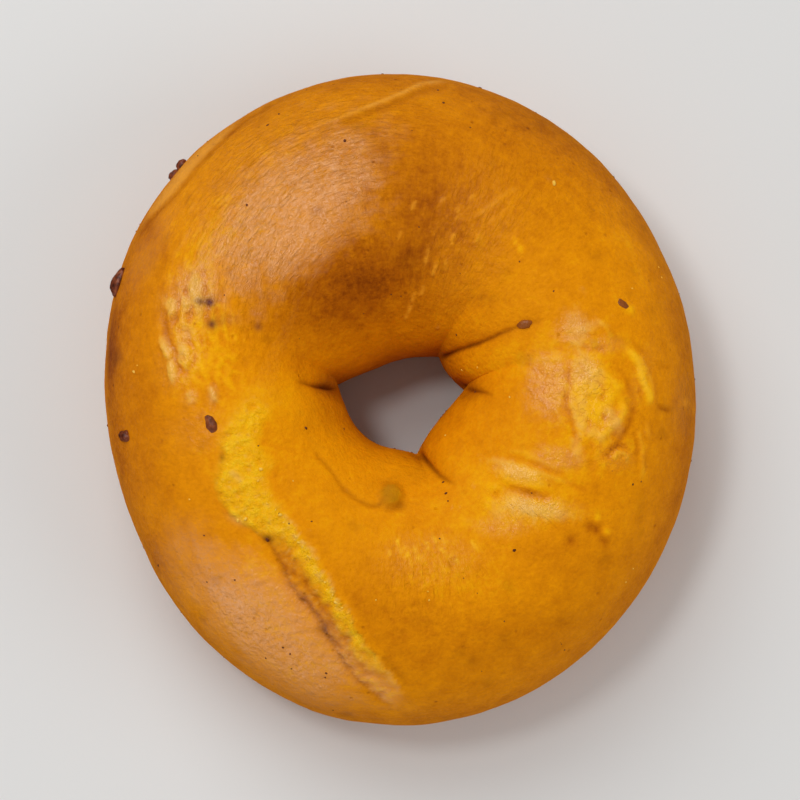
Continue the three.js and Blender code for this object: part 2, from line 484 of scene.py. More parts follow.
swell = np.where(out_f > 0, -SEAM_DROP * np.exp(-np.clip(far_f, 0, 1e3) / 45.0),
                 np.where(out_l < 0, SEAM_RAISE * np.exp(-np.clip(-far_l, 0, 1e3) / 45.0),
                          -SEAM_DROP + (SEAM_RAISE + SEAM_DROP) * rise ** 0.8))
lift += np.where(near, swell, 0) * far_fade * (0.55 + 0.45 * smooth(500, 560, V))
# the crevice under the band, the flap's rounded edge, and the torn crumb itself
foot_line = np.where(near, np.exp(-(out_f / 3.0) ** 2), 0) * near_fade
lip_line = np.where(near, np.exp(-((out_l + 4.0) / 5.0) ** 2), 0) * near_fade
lift -= (0.02 + 0.26 * smooth(0.40, 0.55, tf)) * foot_line
lift += (0.08 + 0.14 * smooth(0.35, 0.5, tf)) * lip_line
lift += band * near_fade * (0.34 * noise(base / 1.6, 23) + 0.24 * noise(base / 0.9, 24) + 0.30 * wrinkled(noise(base / 2.4, 26)) - 0.12)
upper_part = 1 - smooth(625, 700, V)
patchy = 0.5 + 0.5 * noise(base / 1.5, 29)
low_part = smooth(515, 560, V)
crumb += band * near_fade * upper_part * np.clip((1 - low_part) * (0.95 + 0.5 * (patchy - 0.5)) + low_part * smooth(0.42, 0.85, rise + 0.4 * (patchy - 0.5)), 0, 1)
crumb *= smooth(386, 420, V)
# painted shade on the band's low side, next to the crevice
browning_and_shading += 0.16 * band * near_fade * low_part * upper_part * (1 - smooth(0.3, 0.8, rise))
# painted sheen and a paler tone on the lower end of the band
painted_sheen += band * near_fade * (1 - upper_part) * (0.30 + 0.30 * patchy)
browning_and_shading -= 0.12 * band * near_fade * (1 - upper_part)
# pale flakes and painted glints on the torn crumb and along the lip
pale_and_glint += band * near_fade * smooth(0.62, 0.85, 0.5 + 0.5 * noise(base / 0.7, 30)) * 0.40
gloss += 0.16 * band
pale_and_glint += np.where(near, np.exp(-((out_l - 1.0) / 3.2) ** 2), 0) * smooth(0.0, 0.5, noise(base / 0.9, 27) + 0.15) * smooth(500, 530, V) * (1 - smooth(600, 625, V)) * shown * 0.9
# painted shade along the crevice at the foot of the band and in its small holes
dark_and_shade += np.where(near, np.exp(-(out_f / 1.9) ** 2), 0) * near_fade * (0.06 + 0.36 * smooth(0.42, 0.55, tf) * (1 - 0.6 * smooth(0.80, 0.92, tf))) * np.clip(0.5 + 1.2 * noise(base / 1.6, 28), 0, 1)
dark_and_shade += 0.8 * spot(267, 539, 5, 4) + 0.5 * spot(222, 457, 3, 5) + 0.35 * spot(322, 631, 6, 7, -40)
# a small ridge with a painted highlight along it, and a crease with painted shade in it
lift += 0.30 * line([(229, 470), (236, 476), (243, 483)], 3.5)
pale_and_glint += 0.6 * line([(229, 470), (236, 476), (243, 483)], 3.0) + 0.5 * spot(236, 520, 9, 4, -25)
dark_and_shade += 0.18 * line([(380, 653), (388, 662), (396, 671), (408, 684)], 3.0)
lift -= 0.18 * line([(380, 653), (388, 662), (396, 671), (408, 684)], 3.5)
# the lower layer beside it is painted a little paler, as painted sheen
lower_layer = np.where(near & (out_f > 0), np.exp(-(out_f / 85.0) ** 2), 0) * smooth(0.30, 0.60, tf) * shown
browning_and_shading -= 0.03 * lower_layer

# thin crease to a lump where a piece of fruit lies under the skin, with painted shade in the crease and below the lump
lift -= 0.20 * line([(306, 440), (318, 456), (330, 470), (345, 490), (358, 500), (372, 506), (384, 503)], 2.6, 0.15, 0.1)
dark_and_shade += 0.26 * line([(306, 440), (318, 456), (330, 470), (345, 490), (358, 500), (372, 506), (384, 503)], 1.9, 0.35, 0.05)
lift += 0.75 * smooth(0.1, 0.7, spot(391, 496, 11, 11)) - 0.25 * spot(394, 508, 9, 4)
olive += 0.75 * smooth(0.05, 0.75, spot(390, 495, 10.5, 10.5) + 0.18 * noise(base / 1.0, 36)) * shown * (spot(390, 495, 13, 13) > 0.2)
dark_and_shade += 0.30 * spot(395, 507, 9, 4) + 0.16 * spot(402, 498, 4, 9)

# a ridge over the top edge, where the dough was rolled up, with a painted highlight on its crest and painted shade in
# the groove beside it
RIDGE = [(306, 129), (333, 120), (353, 113), (368, 107), (386, 100), (402, 93), (418, 85), (433, 83), (450, 83)]
d, s, t = beside(curve(RIDGE), 30)
lift += 0.20 * np.exp(-(d / 2.6) ** 2) * ends(t, 0.4, 0.1) * shown
lift -= np.where(d < 1e5, 0.20 * np.exp(-((s + 6) / 4.0) ** 2), 0) * ends(t, 0.4, 0.1) * shown
pale_and_glint += 0.42 * np.exp(-(d / 1.7) ** 2) * ends(t, 0.5, 0.1) * shown * np.clip(0.8 + 0.6 * noise(base / 1.5, 35), 0, 1)
dark_and_shade += np.where(d < 1e5, 0.16 * np.exp(-((s + 4.5) / 2.6) ** 2), 0) * ends(t, 0.4, 0.1) * shown

# the lower layer bulges out below the upper left edge: painted shade in the crease, painted sheen on the bulge where it
# faces the view
BULGE = [(318, 84), (291, 92), (268, 106), (242, 121), (222, 141), (205, 158), (177, 192), (152, 217), (136, 243)]
d, s, t = beside(curve(BULGE), 40)
out_b = -s
fade = ends(t, 0.15, 0.15) * shown
lift -= np.where(d < 1e5, 0.26 * np.exp(-(d / 3.2) ** 2), 0) * fade
lift += np.where((d < 1e5) & (out_b > 0), 0.45 * np.exp(-((out_b - 9) / 8.0) ** 2), 0) * fade
pale_and_glint += np.where((d < 1e5) & (out_b > 0), 0.35 * smooth(0, 3, out_b), 0) * fade * smooth(0.05, 0.35, facing)
dark_and_shade += 0.14 * np.exp(-(d / 1.9) ** 2) * fade

# wrinkled skin on the left: painted shade in its creases, painted highlights on its lumps and flakes
left_skin = np.minimum(1, 1.3 * spot(203, 335, 42, 72, 8))
lift += left_skin * (0.34 * wrinkled(grain(3.6, 1.5, 31)) + 0.18 * wrinkled(noise(base / 1.5, 32)))
for points in ([(202, 279), (204, 288), (205, 297)], [(183, 283), (191, 305), (190, 316), (188, 326)],
               [(165, 302), (166, 330), (169, 343), (177, 354), (178, 364), (190, 379)], [(176, 313), (175, 326)]):
    lift -= 0.40 * line(points, 3.0)
    browning_and_shading += 0.07 * line(points, 2.6)
for u, v, ru, rv in ((196, 292, 7, 15), (188, 303, 5, 8), (172, 308, 5, 8), (164, 343, 4, 6), (169, 352, 5, 5),
                     (184, 356, 6, 10), (173, 371, 4, 9)):
    top = smooth(0.15, 0.6, spot(u, v, ru * 1.15, rv * 1.15))
    top = top * np.clip(0.8 + 0.9 * noise(base / 1.4, 33), 0.2, 1.2)
    lift += 0.40 * top
    browning_and_shading -= 0.06 * top
    gloss += 0.25 * top
    pale_and_glint += 0.10 * top

for points, wide in (([(187, 391), (191, 397), (194, 405)], 4.0), ([(211, 385), (213, 394), (215, 405)], 3.6)):
    flake = line(points, wide) * np.clip(0.75 + 0.9 * noise(base / 0.9, 34), 0, 1.2)
    lift += 0.35 * flake
    pale_and_glint += 0.55 * flake

# loose glossy skin on the right: painted shade in its creases, painted highlights along its ridges and on the smooth
# oval
right_skin = np.minimum(1, 1.3 * spot(592, 405, 62, 66))
lift += right_skin * (0.16 * wrinkled(noise(base / 2.4, 41)) + 0.12 * wrinkled(noise(base / 1.4, 42)) + 0.12 * wrinkled(grain(4.0, 1.8, 43)))
for points, deep in (([(572, 352), (568, 372), (570, 386), (566, 402), (571, 418), (574, 432), (576, 441), (568, 460)], 0.24),
                     ([(590, 462), (604, 455), (618, 442), (629, 425), (634, 405), (628, 385), (616, 365)], 0.14),
                     ([(606, 462), (612, 450), (622, 446), (630, 452)], 0.24), ([(560, 478), (575, 486), (590, 490)], 0.16),
                     ([(577, 362), (584, 370), (580, 380)], 0.20), ([(584, 395), (592, 400), (588, 412)], 0.20),
                     ([(596, 380), (604, 392), (600, 404)], 0.18), ([(582, 418), (590, 424), (584, 434)], 0.20),
                     ([(600, 412), (606, 420)], 0.18), ([(632, 430), (638, 446), (634, 460)], 0.18),
                     ([(656, 404), (663, 409), (672, 411)], 0.25), ([(580, 344), (592, 350), (606, 348)], 0.16)):
    lift -= 1.3 * deep * line(points, 2.8)
    browning_and_shading += 0.08 * line(points, 2.3)
for points, high, wide in (([(624, 346), (628, 350), (637, 362), (642, 380), (648, 397), (647, 409)], 0.40, 4.0),
                           ([(638, 352), (644, 366), (650, 382), (653, 400)], 0.24, 3.0),
                           ([(623, 400), (621, 416), (608, 430), (596, 440)], 0.42, 3.6),
                           ([(580, 376), (598, 372), (612, 380), (620, 394)], 0.20, 3.2),
                           ([(480, 458), (500, 462), (515, 464), (530, 468), (560, 480), (578, 484)], 0.30, 3.2),
                           ([(520, 455), (540, 461), (560, 470)], 0.24, 3.0), ([(506, 451), (522, 452), (540, 456)], 0.18, 3.0),
                           ([(636, 426), (640, 440), (642, 466), (640, 482)], 0.22, 3.0), ([(646, 420), (648, 440)], 0.18, 3.0),
                           ([(612, 462), (617, 452), (626, 456), (624, 466)], 0.24, 2.8), ([(530, 362), (548, 358), (566, 360)], 0.16, 3.0),
                           ([(596, 318), (606, 328), (612, 340)], 0.20, 3.2), ([(545, 345), (565, 341), (585, 345)], 0.14, 3.0)):
    lift += 1.2 * high * line(points, wide)
    pale_and_glint += 0.10 * high / 0.3 * line(points, wide * 0.55)
browning_and_shading -= 0.26 * line([(624, 347), (636, 362), (642, 380), (648, 397), (647, 409)], 4.0)
browning_and_shading -= 0.16 * spot(592, 402, 20, 34)
browning_and_shading += 0.13 * line([(604, 340), (622, 372), (631, 400), (626, 428), (600, 456)], 6.0)
pale_and_glint += 0.34 * line([(577, 356), (573, 372), (575, 386), (571, 402), (576, 418), (580, 432), (581, 444)], 1.8) * np.clip(0.7 + noise(base / 0.8, 46), 0, 1.2)

# painted highlights: cream-coloured glints on the tops of the loose skin
GLINT_SPOTS = [
    # u, v, ru, rv, turn, amount
    (577, 332, 9, 15, 10, 0.42),
    (590, 326, 12, 4, 20, 0.30),
    (583, 368, 9, 13, 10, 0.46),
    (596, 380, 7, 9, 0, 0.30),
    (580, 412, 6, 16, -6, 0.36),
    (592, 432, 12, 5, -30, 0.30),
    (576, 446, 5, 10, 0, 0.36),
    (614, 420, 4, 10, 35, 0.34),
    (516, 472, 18, 5, -14, 0.46),
    (505, 462, 14, 3, -10, 0.34),
    (520, 505, 16, 9, -20, 0.50),
    (545, 512, 22, 6, -8, 0.50),
    (500, 512, 8, 7, 0, 0.30),
    (196, 289, 6, 12, 0, 0.55),
    (187, 302, 4, 8, 0, 0.45),
    (172, 306, 5, 8, 10, 0.50),
    (166, 345, 4, 8, 20, 0.50),
    (183, 352, 5, 10, -10, 0.45),
    (173, 371, 4, 10, 0, 0.45),
    (200, 310, 3, 7, 0, 0.35),
    (188, 332, 5, 6, 0, 0.35),
]
for u, v, ru, rv, turn, amount in GLINT_SPOTS:
    top = smooth(0.10, 0.80, spot(u, v, ru * 1.2, rv * 1.2, turn) + 0.34 * noise(base / 0.95, 44) + 0.26 * noise(base / 0.55, 45)) * shown * (spot(u, v, ru * 1.6, rv * 1.6, turn) > 0.15)
    pale_and_glint += amount * top
    lift += 0.08 * top

# a blister, with painted shade on the lip below it and a painted highlight beside it
lift += 0.60 * smooth(0.1, 0.7, spot(523, 479, 25, 12, -16)) - 0.30 * spot(528, 494, 22, 4.5, -16)
browning_and_shading += 0.34 * spot(529, 491, 18, 4.5, -16) - 0.10 * spot(545, 505, 30, 8, -8)
lift += 0.35 * spot(494, 486, 9, 5) - 0.30 * spot(494, 494, 6, 6) + 0.25 * spot(488, 499, 6, 8)
# small lumps painted paler on top, small dimples painted darker
for u, v in ((686, 402), (695, 411), (630, 310), (520, 248), (515, 240), (597, 518), (606, 532)):
    lift += 0.25 * spot(u, v, 4, 5)
    browning_and_shading -= 0.15 * spot(u, v, 4, 5)
for u, v in ((597, 530), (590, 526), (572, 540), (604, 540)):
    lift -= 0.25 * spot(u, v, 5, 5)
    browning_and_shading += 0.16 * spot(u, v, 6, 6)

# short ridges over the top right and below the hole
lift += 0.22 * line([(475, 218), (497, 201), (520, 185)], 3.5)
pale_and_glint += 0.14 * line([(475, 218), (497, 201), (520, 185)], 2.2) * np.clip(0.7 + 1.1 * noise(base / 0.8, 53), 0, 1.3)
lift += streak * 0.10 * wrinkled(rays(4.5, 1.2, 51))
for points in ([(395, 536), (399, 546), (402, 556)], [(414, 545), (417, 556), (420, 562)], [(430, 530), (438, 545), (450, 560)],
               [(416, 290), (411, 305), (404, 322)], [(447, 258), (444, 272)], [(398, 240), (402, 230)], [(430, 245), (424, 268)],
               [(411, 210), (416, 200)], [(458, 205), (458, 222)], [(442, 205), (444, 196)], [(468, 200), (476, 194)],
               [(455, 232), (450, 246)], [(437, 262), (432, 276)], [(424, 285), (420, 297)], [(480, 232), (476, 244)],
               [(405, 545), (408, 558)], [(425, 540), (430, 552)], [(440, 534), (446, 546)], [(452, 552), (460, 566)],
               [(388, 548), (391, 558)], [(470, 540), (480, 552)]):
    fleck = line(points, 2.1) * np.clip(0.7 + 1.1 * noise(base / 0.8, 52), 0, 1.3)
    lift += 0.18 * fleck
    browning_and_shading -= 0.20 * fleck
    pale_and_glint += 0.12 * fleck

crumb += 0.14 * spot(285, 402, 34, 26) + 0.13 * spot(415, 468, 40, 18) + 0.10 * spot(330, 440, 40, 40) + 0.06 * spot(340, 520, 50, 40)
browning_and_shading += 0.05 * spot(512, 392, 26, 40) - 0.05 * spot(545, 442, 26, 16)

# more of the same lump: painted shadow below and right of it, a painted highlight on its upper left
lift += 0.25 * spot(391, 496, 8, 8)
dark_and_shade += 0.22 * spot(397, 503, 7, 3.5, -25) + 0.10 * spot(383, 499, 3, 6)
pale_and_glint += 0.16 * spot(388, 491, 4, 3)

# juice of the fruit baked in, and darker freckles
for u, v, ru, rv, amount in ((210, 303, 4.5, 4, 0.85), (200, 302, 5, 3.5, 0.60), (212, 325, 4, 4, 0.75), (258, 327, 4, 4, 0.55),
                             (209, 300, 10, 8, 0.25), (214, 322, 12, 6, 0.22), (228, 320, 18, 6, 0.12), (330, 387, 10, 8, 0.20),
                             (318, 210, 5, 4, 0.30), (312, 213, 4, 5, 0.15), (380, 155, 12, 9, 0.14), (230, 272, 4, 4, 0.25),
                             (110, 345, 7, 42, 0.30), (118, 358, 5, 8, 0.25)):
    stain += amount * spot(u, v, ru, rv)
# darker freckles; the spots at (470, 392) and (330, 387), by the folds at the hole, are painted shade
for u, v, ru, rv, amount in ((596, 256, 6, 7, 0.22), (666, 410, 7, 5, 0.30), (508, 585, 6, 7, 0.26), (487, 683, 5, 4, 0.30),
                             (470, 392, 14, 9, 0.42), (330, 387, 9, 7, 0.28), (116, 358, 5, 7, 0.30), (503, 115, 10, 6, 0.20),
                             (540, 125, 18, 8, 0.16), (487, 298, 14, 6, 0.18), (505, 272, 7, 5, 0.16), (404, 262, 12, 9, 0.18),
                             (493, 163, 4, 5, 0.2), (655, 310, 8, 12, 0.15), (640, 505, 5, 20, 0.12), (560, 620, 14, 7, 0.15),
                             (472, 660, 8, 6, 0.22), (505, 640, 8, 8, 0.18), (605, 560, 8, 6, 0.16), (417, 620, 7, 5, 0.12),
                             (415, 260, 16, 20, 0.12), (148, 265, 10, 12, 0.12)):
    dark_and_shade += amount * spot(u, v, ru, rv) * (0.8 + 0.4 * noise(base / 0.9, 61))
freckle = smooth(0.42, 0.75, noise(base / 3.1, 62)) * everywhere
dark_and_shade += 0.14 * freckle


# painted light and shade from the relief: raised bits painted paler, hollows painted darker
slow = lift
for reach in (1, 2, 3):
    slow = (slow + np.roll(slow, reach, 0) + np.roll(slow, -reach, 0) + np.roll(slow, reach, 1) + np.roll(slow, -reach, 1)) / 5
cavity_shading = np.clip((lift - slow) * everywhere, -0.25, 0.25)
browning_and_shading -= 0.55 * cavity_shading
pale_and_glint += 0.4 * np.maximum(cavity_shading - 0.02, 0) * np.minimum(1, gloss)

# ---- into the mesh ------------------------------------------------------------------
final = base + normal * lift[..., None]
final[..., 2] = np.maximum(final[..., 2], 0.0)
crust_normal = grid_normals(final)


def to_frame(p):
    return (p - MIDDLE) * MM


def new_mesh(name, verts, faces, smooth_faces=True):
    me = bpy.data.meshes.new(name)
    me.from_pydata(verts.tolist() if hasattr(verts, "tolist") else verts, [], faces.tolist() if hasattr(faces, "tolist") else faces)
    me.polygons.foreach_set("use_smooth", np.full(len(me.polygons), smooth_faces))
    me.update()
    ob = bpy.data.objects.new(name, me)
    bpy.context.scene.collection.objects.link(ob)
    return ob


i, j = np.meshgrid(np.arange(AROUND), np.arange(ACROSS), indexing="ij")
i2, j2 = (i + 1) % AROUND, (j + 1) % ACROSS
quads = np.stack([i * ACROSS + j, i2 * ACROSS + j, i2 * ACROSS + j2, i * ACROSS + j2], -1).reshape(-1, 4)
bagel = new_mesh("bagel_crust", to_frame(final).reshape(-1, 3), quads)

# a flat map: around the ring by across it
uv = bagel.data.uv_layers.new(name="OFBake")
fu = np.concatenate([np.arange(AROUND), [AROUND]]) / AROUND
fv = np.concatenate([np.arange(ACROSS), [ACROSS]]) / ACROSS
corner = np.stack([np.stack([fu[i], fv[j]], -1), np.stack([fu[i + 1], fv[j]], -1),
                   np.stack([fu[i + 1], fv[j + 1]], -1), np.stack([fu[i], fv[j + 1]], -1)], 2)
uv.data.foreach_set("uv", corner.reshape(-1))


def paint(ob, name, values):
    layer = ob.data.attributes.new(name, "FLOAT", "POINT")
    layer.data.foreach_set("value", np.clip(values, 0, 1).astype(np.float32).ravel())


for name, values in (("browning_and_shading", browning_and_shading), ("crumb", crumb), ("pale_and_glint", pale_and_glint), ("stain", stain), ("dark_and_shade", dark_and_shade),
                     ("gloss", gloss), ("leather", leather), ("streak", streak), ("painted_sheen", painted_sheen), ("olive", olive), ("craze", craze)):
    paint(bagel, name, values)
flow = bagel.data.attributes.new("flow", "FLOAT_VECTOR", "POINT")
flow.data.foreach_set("vector", np.concatenate([ring_xy, across_mm[..., None]], -1).astype(np.float32).ravel())


# ---- small things on the crust ------------------------------------------------------
def ball(level):
    bm = bmesh.new()
    bmesh.ops.create_icosphere(bm, subdivisions=level, radius=1.0)
    v = np.array([p.co for p in bm.verts])
    f = np.array([[p.index for p in face.verts] for face in bm.faces])
    bm.free()
    return v, f


def on_crust(u, v):
    """The grid point of the shown crust that falls nearest to a place in the frame."""
    away = (U - u) ** 2 + (V - v) ** 2 + np.where(facing > 0.03, 0, 1e6)
    return np.unravel_index(np.argmin(away), away.shape)


def gather(parts):
    verts, faces, start = [], [], 0
    for v, f in parts:
        verts.append(v)
        faces.append(f + start)
        start += len(v)
    return np.vstack(verts), np.vstack(faces)


def seated(at, size, turn, sink, shape, seed, rough=0.25):
    """A lumpy piece on the crust at a grid point: size along its two sides and its height, in mm."""
    v, f = shape
    n = crust_normal[at]
    side = np.cross(n, [0.31, 0.87, 0.38])
    side /= np.linalg.norm(side)
    other = np.cross(n, side)
    t = np.radians(turn)
    a, b = side * np.cos(t) + other * np.sin(t), other * np.cos(t) - side * np.sin(t)
    lumpy = v * (1 + rough * noise(v * 1.3 + seed * 3.7, seed)[:, None] + 0.4 * rough * noise(v * 3.1 + seed, seed + 5)[:, None])
    p = final[at] + n * (size[2] * (1 - 2 * sink))
    return p + lumpy[:, :1] * size[0] * a + lumpy[:, 1:2] * size[1] * b + lumpy[:, 2:] * size[2] * n, f


luck = np.random.default_rng(7)
fine_ball, small_ball, tiny_ball = ball(4), ball(3), ball(1)


def turn_for(at, u, v):
    """Turn that lays a piece's long side towards a place in the frame."""
    n = crust_normal[at]
    side = np.cross(n, [0.31, 0.87, 0.38])
    side /= np.linalg.norm(side)
    other = np.cross(n, side)
    here = np.array(in_view(final[at])[:2])
    want = np.array([u, v]) - here
    best = max(range(0, 180, 3), key=lambda k: abs(np.dot(
        np.array(in_view(final[at] + side * np.cos(np.radians(k)) + other * np.sin(np.radians(k)))[:2]) - here, want)))
    return best


# pieces of dried fruit that show through the crust: where, a second place its long side
# points at, half length, half width, height, how deep it sits
FRUIT = [
    (119, 283, 115, 303, 2.6, 1.5, 1.35, 0.52),
    (183, 165, 173, 177, 1.1, 0.95, 0.95, 0.48),
    (174, 176, 166, 187, 1.2, 0.9, 0.85, 0.50),
    (124, 436, 124, 446, 1.05, 1.60, 0.95, 0.60),
    (210, 423, 216, 435, 1.65, 0.95, 0.55, 0.66),
    (524, 325, 536, 322, 1.3, 0.85, 0.75, 0.55),
    (624, 305, 634, 309, 1.2, 0.7, 0.50, 0.70),
]
parts = []
for k, (u, v, u2, v2, long, wide, high, sink) in enumerate(FRUIT):
    at = on_crust(u, v)
    parts.append(seated(at, (long, wide, high), turn_for(at, u2, v2), sink, fine_ball, 101 + k, 0.20))
fv, ff = gather(parts)
fruit = new_mesh("fruit_bits", to_frame(fv), ff)
paint(fruit, "glazed", np.repeat([0.0, 0.0, 0.0, 0.0, 0.15, 0.70, 0.55], len(fine_ball[0])))

# grains of spice and burnt specks, some where the view shows them and some all over
SPECKS = [(246, 206, 0.34), (345, 141, 0.44), (306, 428, 0.40), (514, 549, 0.42), (447, 494, 0.40), (474, 391, 0.36),
          (436, 89, 0.30), (442, 102, 0.34), (279, 114, 0.30), (267, 126, 0.34), (157, 565, 0.36), (235, 580, 0.26),
          (284, 648, 0.24), (290, 654, 0.26), (266, 659, 0.24), (290, 670, 0.24), (326, 675, 0.30), (326, 680, 0.24),
          (267, 539, 0.55), (448, 501, 0.22), (257, 447, 0.20), (279, 515, 0.24), (288, 524, 0.22), (207, 583, 0.22),
          (439, 539, 0.24), (632, 484, 0.26), (554, 290, 0.26), (346, 201, 0.16), (519, 263, 0.22),
          (457, 334, 0.26), (443, 481, 0.30), (471, 127, 0.22), (564, 651, 0.24)]
parts = []
for k, (u, v, size) in enumerate(SPECKS):
    at = on_crust(u, v)
    parts.append(seated(at, (size * 0.85, size * 0.66, size * 0.36), luck.uniform(0, 180), 0.50, tiny_ball, 201 + k, 0.5))
count = 0
while count < 110:
    at = (int(luck.integers(AROUND)), int(luck.integers(ACROSS)))
    seen = facing[at] > 0.05
    if base[at][2] < 2.0 or (seen and luck.random() < 0.93):
        continue
    size = luck.uniform(0.10, 0.20) if seen else luck.uniform(0.12, 0.36)
    parts.append(seated(at, (size, size * luck.uniform(0.6, 0.9), size * 0.45), luck.uniform(0, 180), 0.45, tiny_ball, 401 + count, 0.5))
    count += 1
sv, sf_ = gather(parts)
specks = new_mesh("spice_specks", to_frame(sv), sf_)

# dry pale crumbs: along the torn band and a few elsewhere
CRUMBS = [(465, 368, 0.22), (480, 365, 0.22), (510, 397, 0.24), (447, 436, 0.24), (134, 371, 0.36), (138, 366, 0.20), (292, 482, 0.20),
          (261, 470, 0.42), (259, 480, 0.34), (244, 519, 0.40), (238, 521, 0.36), (555, 183, 0.62), (632, 287, 0.24), (188, 500, 0.20),
          (427, 592, 0.22), (429, 600, 0.22), (633, 568, 0.20), (625, 582, 0.20), (377, 600, 0.18), (658, 266, 0.20), (661, 278, 0.20)]
parts = []
for k, (u, v, size) in enumerate(CRUMBS):
    at = on_crust(u, v)
    parts.append(seated(at, (size, size * 0.7, size * 0.55), luck.uniform(0, 180), 0.40, tiny_ball, 601 + k, 0.45))
chain = curve([(272, 500), (285, 517), (299, 536), (309, 551), (317, 564), (328, 579), (336, 597), (345, 610)], 12)
for k in range(18):
    u, v = chain[int(luck.integers(len(chain)))] + luck.normal(0, 1.5, 2) + np.array([-3.0, 1.5])
    size = luck.uniform(0.20, 0.45)
    parts.append(seated(on_crust(u, v), (size, size * luck.uniform(0.4, 0.8), size * 0.30), luck.uniform(0, 180), 0.70, tiny_ball, 701 + k, 0.6))
cv, cf = gather(parts)
crumbs = new_mesh("dry_crumbs", to_frame(cv), cf)


# ---- materials ------------------------------------------------------------------------
def srgb(r, g, b):
    c = np.array([r, g, b]) / 255.0
    c = np.where(c <= 0.04045, c / 12.92, ((c + 0.055) / 1.055) ** 2.4)
    return (*c.tolist(), 1.0)


def material(name):
    mat = bpy.data.materials.new(name)
    mat.use_nodes = True
    nt = mat.node_tree
    nt.nodes.clear()
    out = nt.nodes.new("ShaderNodeOutputMaterial")
    shader = nt.nodes.new("ShaderNodeBsdfPrincipled")
    nt.links.new(shader.outputs[0], out.inputs[0])
    return mat, nt, shader


def node(nt, kind, **settings):
    n = nt.nodes.new(kind)
    for key, value in settings.items():
        if hasattr(n, key):
            setattr(n, key, value)
        else:
            n.inputs[key].default_value = value
    return n


def attribute(nt, name):
    return node(nt, "ShaderNodeAttribute", attribute_name=name).outputs["Fac"]


def math(nt, op, a, b=None, clamp=False):
    n = node(nt, "ShaderNodeMath", operation=op, use_clamp=clamp)
    for k, x in enumerate((a, b)):
        if x is None:
            continue
        if isinstance(x, (int, float)):
            n.inputs[k].default_value = x
        else:
            nt.links.new(x, n.inputs[k])
    return n.outputs[0]


def mix(nt, factor, a, b, blend="MIX"):
    n = node(nt, "ShaderNodeMix", data_type="RGBA", blend_type=blend)
    for socket, x in ((n.inputs[0], factor), (n.inputs[6], a), (n.inputs[7], b)):
        if isinstance(x, (int, float, tuple)):
            socket.default_value = x
        else:
            nt.links.new(x, socket)
    return n.outputs[2]


def ramp(nt, factor, stops):
    n = nt.nodes.new("ShaderNodeValToRGB")
    n.color_ramp.interpolation = "LINEAR"
    while len(n.color_ramp.elements) < len(stops):
        n.color_ramp.elements.new(0.5)
    for e, (place, colour) in zip(n.color_ramp.elements, stops):
        e.position = place
        e.color = colour
    nt.links.new(factor, n.inputs[0])
    return n.outputs[0]


def speckle(nt, where, scale, cavity_shading=3.0, rough=0.5):
    n = node(nt, "ShaderNodeTexNoise", Scale=scale, Detail=cavity_shading, Roughness=rough)
    nt.links.new(where, n.inputs["Vector"])
    return n.outputs["Fac"]


def stretched(nt, where, scale):
    n = node(nt, "ShaderNodeMapping")
    n.inputs["Scale"].default_value = scale
    nt.links.new(where, n.inputs["Vector"])
    return n.outputs[0]


def added(nt, *terms):
    total = None
    for value, share in terms:
        part = math(nt, "MULTIPLY", value, share)
        total = part if total is None else math(nt, "ADD", total, part)
    return total


def bumped(nt, shader, height):
    """Bump from a height in metres."""
    b = node(nt, "ShaderNodeBump")
    b.inputs["Strength"].default_value = 1.0
    b.inputs["Distance"].default_value = 1.0
    nt.links.new(height, b.inputs["Height"])
    nt.links.new(b.outputs[0], shader.inputs["Normal"])
    nt.links.new(b.outputs[0], shader.inputs["Coat Normal"])


def pits(nt, where, scale, size):
    n = node(nt, "ShaderNodeTexVoronoi", Scale=scale)
    nt.links.new(where, n.inputs["Vector"])
    return math(nt, "SUBTRACT", 1.0, math(nt, "DIVIDE", n.outputs["Distance"], size, clamp=True))


def wavy(nt, where, cavity_shading, twist):
    n = node(nt, "ShaderNodeTexNoise", Scale=1.0, Detail=cavity_shading, Roughness=0.6, Distortion=twist)
    nt.links.new(where, n.inputs["Vector"])
    return math(nt, "SUBTRACT", n.outputs[0], 0.5)


mat, nt, shader = material("baked_crust")
place = node(nt, "ShaderNodeTexCoord").outputs["Object"]
flow_at = node(nt, "ShaderNodeAttribute", attribute_name="flow").outputs["Vector"]
mottle = math(nt, "SUBTRACT", speckle(nt, place, 420.0, 4.0, 0.6), 0.5)
fine = math(nt, "SUBTRACT", speckle(nt, place, 1500.0, 3.0, 0.6), 0.5)
along_grain = wavy(nt, stretched(nt, flow_at, (0.62, 0.62, 1.7)), 2.0, 0.9)
across_grain = wavy(nt, stretched(nt, flow_at, (1.5, 1.5, 0.45)), 2.0, 0.9)
holes = pits(nt, place, 260.0, 0.10)
craze_line = math(nt, "SUBTRACT", 1.0, math(nt, "DIVIDE", math(nt, "ABSOLUTE", math(nt, "SUBTRACT", speckle(nt, place, 520.0, 2.0), 0.5)), 0.060, clamp=True))
leather_at, streak_at, gloss_at = attribute(nt, "leather"), attribute(nt, "streak"), attribute(nt, "gloss")
crumb_at, pale_and_glint_at, painted_sheen_at = attribute(nt, "crumb"), attribute(nt, "pale_and_glint"), attribute(nt, "painted_sheen")
leathery = math(nt, "MULTIPLY", along_grain, leather_at)
streaky = math(nt, "MULTIPLY", across_grain, streak_at)
crazed = math(nt, "MULTIPLY", craze_line, attribute(nt, "craze"))

